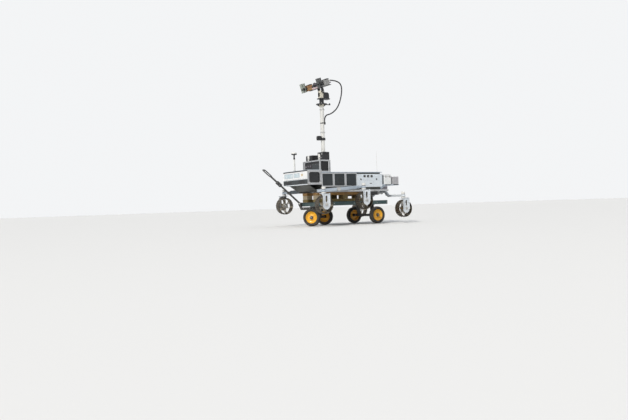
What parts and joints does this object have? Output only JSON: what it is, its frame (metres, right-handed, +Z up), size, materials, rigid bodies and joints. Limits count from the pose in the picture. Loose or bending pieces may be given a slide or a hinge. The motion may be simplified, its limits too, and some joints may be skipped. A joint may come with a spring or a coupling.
{
  "type": "planetary rover prototype on its pull cart",
  "caption": "Six-wheel planetary rover testbed with steered flexible metal wheels, three bogies and a camera mast, carried on a four-wheel pull cart with timber packing.",
  "frame": {"origin": "on the floor, under the middle of the outline", "axes": "+X towards the rover's front, +Y towards its left side, +Z up"},
  "size_m": [2.0572, 1.4722, 2.3422],
  "materials": {
    "aluminium": "satin",
    "black_paint": "satin",
    "camera_brown": "satin",
    "cart_steel": "satin",
    "cart_yellow": "gloss",
    "clear_grey": "gloss",
    "drive_black": "matte",
    "electronics_black": "matte",
    "lens_glass": "gloss",
    "steel": "brushed",
    "timber": "matte",
    "tyre": "matte",
    "wheel_metal": "brushed",
    "white_paint": "satin",
    "white_plastic": "matte",
    "window_black": "gloss"
  },
  "bodies": {
    "chassis": {"steering_drives": "drive_black", "bogie_left": "aluminium", "bogie_right": "aluminium", "bogie_rear": "aluminium", "belly_tub": "aluminium", "deck_plate": "aluminium", "chassis_rails": "aluminium", "side_units": "aluminium", "side_covers": "black_paint", "battery_boxes": "black_paint", "front_frame": "aluminium", "front_side_windows": "window_black", "front_upper_panel": "white_paint", "front_lower_panel": "black_paint", "front_top_panel": "aluminium", "front_belly_plate": "aluminium", "rear_shelf": "aluminium", "rear_white_box": "white_paint", "rear_clear_box": "clear_grey", "top_rack": "aluminium", "top_electronics": "electronics_black", "antennas": "white_plastic", "mast_tube": "aluminium", "mast_flange": "aluminium", "localisation_camera": "electronics_black", "pan_drive": "black_paint", "head_cable": "electronics_black", "cart_frame": "cart_steel", "cart_deck": "cart_steel", "cart_rear_axle": "cart_steel", "timber_packing": "timber"},
    "steer_front_left": {"bracket_front_left": "steel"},
    "wheel_front_left": {"wheel_front_left": "wheel_metal"},
    "steer_front_right": {"bracket_front_right": "steel"},
    "wheel_front_right": {"wheel_front_right": "wheel_metal"},
    "steer_middle_left": {"bracket_middle_left": "steel"},
    "wheel_middle_left": {"wheel_middle_left": "wheel_metal"},
    "steer_middle_right": {"bracket_middle_right": "steel"},
    "wheel_middle_right": {"wheel_middle_right": "wheel_metal"},
    "steer_rear_left": {"bracket_rear_left": "steel"},
    "wheel_rear_left": {"wheel_rear_left": "wheel_metal"},
    "steer_rear_right": {"bracket_rear_right": "steel"},
    "wheel_rear_right": {"wheel_rear_right": "wheel_metal"},
    "pan_yoke": {"pan_yoke": "black_paint", "tilt_housing": "white_plastic"},
    "head": {"head_bench": "black_paint", "camera_bodies": "camera_brown", "camera_hoods": "lens_glass", "middle_camera": "electronics_black"},
    "cart_front_axle": {"cart_front_axle": "cart_steel"},
    "drawbar": {"drawbar": "black_paint"},
    "cart_wheel_front_left": {"cart_rim_front_left": "cart_yellow", "cart_tyre_front_left": "tyre"},
    "cart_wheel_rear_left": {"cart_rim_rear_left": "cart_yellow", "cart_tyre_rear_left": "tyre"},
    "cart_wheel_front_right": {"cart_rim_front_right": "cart_yellow", "cart_tyre_front_right": "tyre"},
    "cart_wheel_rear_right": {"cart_rim_rear_right": "cart_yellow", "cart_tyre_rear_right": "tyre"}
  },
  "joints": [
    {"name": "steer_front_left", "type": "hinge", "parent": "chassis", "child": "steer_front_left", "pos_m": [0.64788, 0.65015, 0.4975], "axis": [0, 0, 1], "range_deg": [-60, 60]},
    {"name": "roll_front_left", "type": "hinge", "parent": "steer_front_left", "child": "wheel_front_left", "pos_m": [0.64788, 0.65015, 0.335], "axis": [0, 1, 0], "continuous": true},
    {"name": "steer_front_right", "type": "hinge", "parent": "chassis", "child": "steer_front_right", "pos_m": [0.64788, -0.58985, 0.4975], "axis": [0, 0, 1], "range_deg": [-60, 60]},
    {"name": "roll_front_right", "type": "hinge", "parent": "steer_front_right", "child": "wheel_front_right", "pos_m": [0.64788, -0.58985, 0.335], "axis": [0, 1, 0], "continuous": true},
    {"name": "steer_middle_left", "type": "hinge", "parent": "chassis", "child": "steer_middle_left", "pos_m": [-0.09912, 0.65015, 0.5475], "axis": [0, 0, 1], "range_deg": [-60, 60]},
    {"name": "roll_middle_left", "type": "hinge", "parent": "steer_middle_left", "child": "wheel_middle_left", "pos_m": [-0.09912, 0.65015, 0.385], "axis": [0, 1, 0], "continuous": true},
    {"name": "steer_middle_right", "type": "hinge", "parent": "chassis", "child": "steer_middle_right", "pos_m": [-0.09912, -0.58985, 0.5475], "axis": [0, 0, 1], "range_deg": [-60, 60]},
    {"name": "roll_middle_right", "type": "hinge", "parent": "steer_middle_right", "child": "wheel_middle_right", "pos_m": [-0.09912, -0.58985, 0.385], "axis": [0, 1, 0], "continuous": true},
    {"name": "steer_rear_left", "type": "hinge", "parent": "chassis", "child": "steer_rear_left", "pos_m": [-0.88612, 0.65015, 0.3975], "axis": [0, 0, 1], "range_deg": [-60, 60]},
    {"name": "roll_rear_left", "type": "hinge", "parent": "steer_rear_left", "child": "wheel_rear_left", "pos_m": [-0.88612, 0.65015, 0.235], "axis": [0, 1, 0], "continuous": true},
    {"name": "steer_rear_right", "type": "hinge", "parent": "chassis", "child": "steer_rear_right", "pos_m": [-0.88612, -0.58985, 0.3975], "axis": [0, 0, 1], "range_deg": [-60, 60]},
    {"name": "roll_rear_right", "type": "hinge", "parent": "steer_rear_right", "child": "wheel_rear_right", "pos_m": [-0.88612, -0.58985, 0.235], "axis": [0, 1, 0], "continuous": true},
    {"name": "mast_pan", "type": "hinge", "parent": "chassis", "child": "pan_yoke", "pos_m": [0.24088, 0.03015, 2.047], "axis": [0, 0, 1], "range_deg": [-170, 170], "deforming": ["head_cable"]},
    {"name": "mast_tilt", "type": "hinge", "parent": "pan_yoke", "child": "head", "pos_m": [0.24088, 0.03015, 2.17], "axis": [0, 1, 0], "range_deg": [-47, 31]},
    {"name": "cart_steer", "type": "hinge", "parent": "chassis", "child": "cart_front_axle", "pos_m": [0.37088, 0.03015, 0.27], "axis": [0, 0, 1], "range_deg": [0, 100]},
    {"name": "drawbar_lift", "type": "hinge", "parent": "cart_front_axle", "child": "drawbar", "pos_m": [0.57015, -0.20733, 0.365], "axis": [-0.766, -0.6428, 0], "range_deg": [-58, 8]},
    {"name": "cart_roll_rear_left", "type": "hinge", "parent": "chassis", "child": "cart_wheel_rear_left", "pos_m": [-0.55912, 0.36015, 0.14], "axis": [0, 1, 0], "continuous": true},
    {"name": "cart_roll_front_left", "type": "hinge", "parent": "cart_front_axle", "child": "cart_wheel_front_left", "pos_m": [0.62368, 0.24227, 0.14], "axis": [0.766, 0.6428, 0], "continuous": true},
    {"name": "cart_roll_rear_right", "type": "hinge", "parent": "chassis", "child": "cart_wheel_rear_right", "pos_m": [-0.55912, -0.29985, 0.14], "axis": [0, 1, 0], "continuous": true},
    {"name": "cart_roll_front_right", "type": "hinge", "parent": "cart_front_axle", "child": "cart_wheel_front_right", "pos_m": [0.11809, -0.18197, 0.14], "axis": [0.766, 0.6428, 0], "continuous": true}
  ]
}
